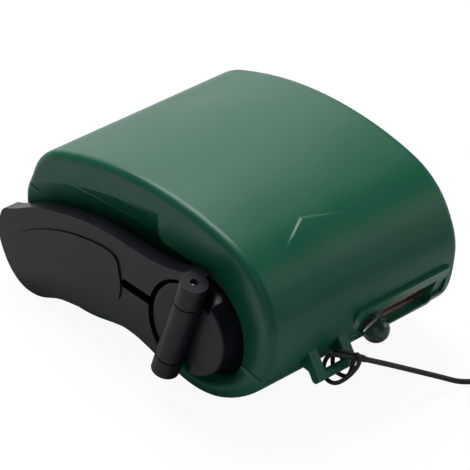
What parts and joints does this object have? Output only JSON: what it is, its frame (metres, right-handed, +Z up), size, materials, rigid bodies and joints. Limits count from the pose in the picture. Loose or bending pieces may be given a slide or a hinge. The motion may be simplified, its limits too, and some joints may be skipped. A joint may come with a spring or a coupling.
{
  "type": "hand crank phone charger",
  "caption": "Pocket phone charger with a folding crank on its side that drives a small generator, a USB socket, a lamp and a lanyard.",
  "frame": {"origin": "centre of the footprint of the charger with its crank folded, on the surface that it stands on", "axes": "+X from the crank side to the far side, +Y from the USB socket's end to the back, +Z up"},
  "size_m": [0.058, 0.0975, 0.0355],
  "materials": {
    "case_top": "dark green moulded plastic, glossy",
    "case_bottom": "dark green moulded plastic, satin",
    "charcoal": "charcoal moulded plastic, fine texture",
    "steel": "plain steel",
    "brass": "plain brass",
    "gear_white": "natural acetal",
    "inner_black": "black moulded plastic",
    "magnet": "dark sintered magnet",
    "tin": "tinned sheet steel",
    "copper": "enamelled copper winding",
    "lead_red": "insulated wire",
    "board_green": "solder mask over glass fibre",
    "socket_plastic": "brown moulded plastic",
    "gold": "gold-plated contacts",
    "clear_lens": "clear moulded lamp lens",
    "capacitor_blue": "sleeved can",
    "cord_black": "black braided cord"
  },
  "bodies": {
    "case": {"top_shell": "case_top", "bottom_cover": "case_bottom", "cover_screws": "steel", "shaft_bush": "brass", "gear_axles": "steel", "gearbox_front_plate": "inner_black", "gearbox_rear_plate": "inner_black", "gearbox_screws": "steel", "rotor_bushes": "brass", "generator_can": "tin", "stator_bobbins": "inner_black", "stator_coils": "copper", "generator_leads": "lead_red", "circuit_board": "board_green", "board_screws": "steel", "usb_shell": "tin", "usb_tongue": "socket_plastic", "usb_contacts": "gold", "led_lens": "clear_lens", "led_leads": "tin", "rectifier_diodes": "inner_black", "capacitor": "capacitor_blue", "regulator_chip": "inner_black", "lanyard_loop": "cord_black", "lanyard_cord": "cord_black", "lanyard_coil": "cord_black", "lanyard_knot": "cord_black"},
    "hub": {"crank_hub": "charcoal", "input_shaft": "steel", "crank_gear": "gear_white", "shaft_clip": "steel"},
    "arm": {"crank_arm": "charcoal", "hinge_pin": "steel", "knob_screw": "steel"},
    "knob": {"finger_knob": "charcoal"},
    "first_gear": {"first_gear": "gear_white"},
    "second_gear": {"second_gear": "gear_white"},
    "rotor": {"rotor_shaft": "steel", "rotor_pinion": "brass", "rotor_magnet": "magnet"}
  },
  "joints": [
    {"name": "crank_spin", "type": "hinge", "parent": "case", "child": "hub", "pos_m": [-0.01997, -0.01404, 0.0145], "axis": [1, 0, 0], "continuous": true},
    {"name": "arm_fold", "type": "hinge", "parent": "hub", "child": "arm", "pos_m": [-0.02428, -0.01309, 0.0145], "axis": [0, -0.2385, 0.9711], "range_deg": [0, 180]},
    {"name": "knob_spin", "type": "hinge", "parent": "arm", "child": "knob", "pos_m": [-0.02098, 0.02316, 0.0103], "axis": [1, 0, 0], "continuous": true},
    {"name": "first_gear_spin", "type": "hinge", "parent": "case", "child": "first_gear", "pos_m": [-0.00997, -0.00423, 0.0214], "axis": [1, 0, 0], "continuous": true},
    {"name": "second_gear_spin", "type": "hinge", "parent": "case", "child": "second_gear", "pos_m": [-0.00997, 0.00857, 0.01709], "axis": [1, 0, 0], "continuous": true},
    {"name": "rotor_spin", "type": "hinge", "parent": "case", "child": "rotor", "pos_m": [0.00003, 0.02197, 0.0155], "axis": [1, 0, 0], "continuous": true}
  ],
  "couplings": [
    {"joint": "first_gear_spin", "follows": "crank_spin", "ratio": -3},
    {"joint": "second_gear_spin", "follows": "crank_spin", "ratio": 10.5},
    {"joint": "rotor_spin", "follows": "crank_spin", "ratio": -36.75}
  ]
}
